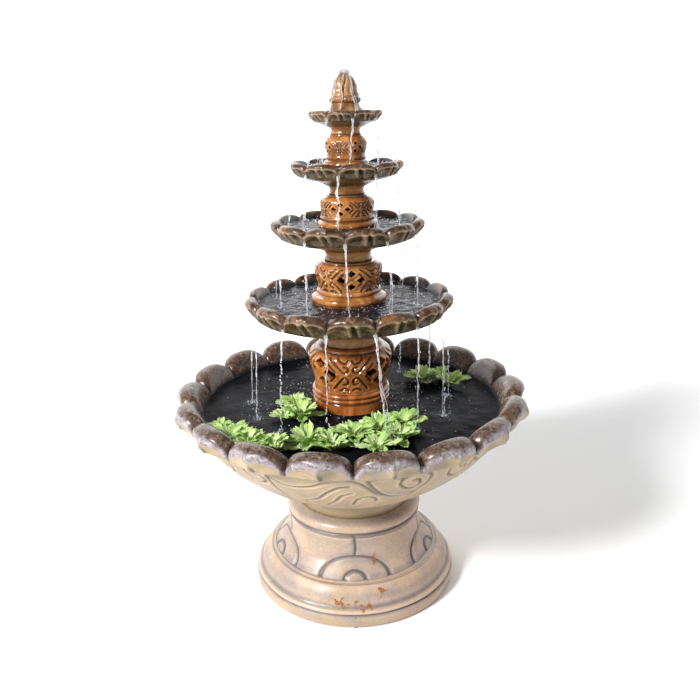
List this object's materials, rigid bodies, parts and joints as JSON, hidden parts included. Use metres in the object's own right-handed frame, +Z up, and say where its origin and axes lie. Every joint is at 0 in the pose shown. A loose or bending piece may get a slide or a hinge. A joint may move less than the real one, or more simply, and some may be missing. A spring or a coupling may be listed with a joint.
{
  "type": "tiered water fountain",
  "caption": "Free-standing garden fountain: scalloped glazed bowls stacked on pierced columns over a large lobed basin and hollow pedestal, fed by a submersible pump and central riser.",
  "frame": {"origin": "on the floor under the fountain's axis, at the underside of the pedestal's rubber pads", "axes": "+Z up along the fountain's axis, front (a notch of the basin) towards -Y, +X to the right seen from the front"},
  "size_m": [0.7678, 0.7598, 1.1],
  "materials": {
    "pedestal_stone": "matt carved cast stone with grey washes in the recesses and rust stains on the foot",
    "basin_glaze": "mottled glaze, dark brown lobes fading to beige carved body, black inside",
    "bowl_glaze": "dark brown and ochre mottled glaze, dark wet inside",
    "column_glaze": "glossy caramel amber glaze",
    "finial_glaze": "glossy caramel brown glaze",
    "black_rubber": "soft black rubber",
    "black_plastic": "moulded black plastic",
    "grey_plastic": "moulded grey plastic",
    "clear_tube": "milky flexible tube",
    "bright_steel": "stainless steel",
    "shaft_ceramic": "ground white ceramic",
    "magnet": "bonded ferrite",
    "winding": "laminated core with enamelled windings",
    "nozzle_brass": "turned brass"
  },
  "bodies": {
    "pedestal": {"pedestal": "pedestal_stone", "pedestal_pads": "black_rubber", "basin_seat_ring": "black_rubber"},
    "basin": {"basin": "basin_glaze", "riser_tube": "clear_tube", "hose_clamp": "bright_steel", "drain_bush": "grey_plastic", "drain_seal": "black_rubber", "drain_nut": "grey_plastic", "cord_gland_body": "black_plastic", "cord_gland_nut": "black_plastic", "cord_gland_seal": "black_rubber", "cord_gland_cap": "black_plastic", "pump_housing": "black_plastic", "pump_back_cover": "black_plastic", "pump_cover_screws": "bright_steel", "pump_gland": "black_rubber", "pump_stator": "winding", "pump_o_ring": "black_rubber", "pump_volute": "black_plastic", "pump_shaft": "shaft_ceramic", "pump_front_bush": "black_rubber", "pump_back_bush": "black_rubber", "pump_strainer": "black_plastic", "pump_suction_cups": "black_rubber"},
    "pump_rotor": {"rotor_magnet": "magnet", "impeller": "grey_plastic"},
    "flow_regulator": {"flow_regulator": "grey_plastic"},
    "drain_plug": {"drain_plug": "black_rubber"},
    "column_1": {"column_1": "column_glaze", "tier_seal_1": "black_rubber"},
    "bowl_1": {"bowl_1": "bowl_glaze", "hub_grommet_1": "black_rubber"},
    "column_2": {"column_2": "column_glaze", "tier_seal_2": "black_rubber"},
    "bowl_2": {"bowl_2": "bowl_glaze", "hub_grommet_2": "black_rubber"},
    "column_3": {"column_3": "column_glaze", "tier_seal_3": "black_rubber"},
    "bowl_3": {"bowl_3": "bowl_glaze", "hub_grommet_3": "black_rubber"},
    "column_4": {"column_4": "column_glaze", "tier_seal_4": "black_rubber"},
    "bowl_4": {"bowl_4": "bowl_glaze", "hub_grommet_4": "black_rubber"},
    "finial": {"finial": "finial_glaze", "finial_nozzle": "nozzle_brass"}
  },
  "joints": [
    {"name": "basin_lift", "type": "slide", "parent": "pedestal", "child": "basin", "axis": [0, 0, 1], "range_m": [0, 0.05]},
    {"name": "column_1_lift", "type": "slide", "parent": "basin", "child": "column_1", "axis": [0, 0, 1], "range_m": [0, 0.12]},
    {"name": "bowl_1_lift", "type": "slide", "parent": "column_1", "child": "bowl_1", "axis": [0, 0, 1], "range_m": [0, 0.04]},
    {"name": "column_2_lift", "type": "slide", "parent": "bowl_1", "child": "column_2", "axis": [0, 0, 1], "range_m": [0, 0.08]},
    {"name": "bowl_2_lift", "type": "slide", "parent": "column_2", "child": "bowl_2", "axis": [0, 0, 1], "range_m": [0, 0.04]},
    {"name": "column_3_lift", "type": "slide", "parent": "bowl_2", "child": "column_3", "axis": [0, 0, 1], "range_m": [0, 0.06]},
    {"name": "bowl_3_lift", "type": "slide", "parent": "column_3", "child": "bowl_3", "axis": [0, 0, 1], "range_m": [0, 0.04]},
    {"name": "column_4_lift", "type": "slide", "parent": "bowl_3", "child": "column_4", "axis": [0, 0, 1], "range_m": [0, 0.05]},
    {"name": "bowl_4_lift", "type": "slide", "parent": "column_4", "child": "bowl_4", "axis": [0, 0, 1], "range_m": [0, 0.04]},
    {"name": "finial_lift", "type": "slide", "parent": "bowl_4", "child": "finial", "axis": [0, 0, 1], "range_m": [0, 0.1]},
    {"name": "drain_plug_pull", "type": "slide", "parent": "basin", "child": "drain_plug", "axis": [0, 0, 1], "range_m": [0, 0.04]},
    {"name": "pump_rotor_spin", "type": "hinge", "parent": "basin", "child": "pump_rotor", "pos_m": [0, 0.025, 0.294], "axis": [0, 1, 0], "continuous": true},
    {"name": "flow_regulator_turn", "type": "hinge", "parent": "basin", "child": "flow_regulator", "pos_m": [0, -0.042, 0.294], "axis": [0, 1, 0], "range_deg": [0, 90]}
  ]
}
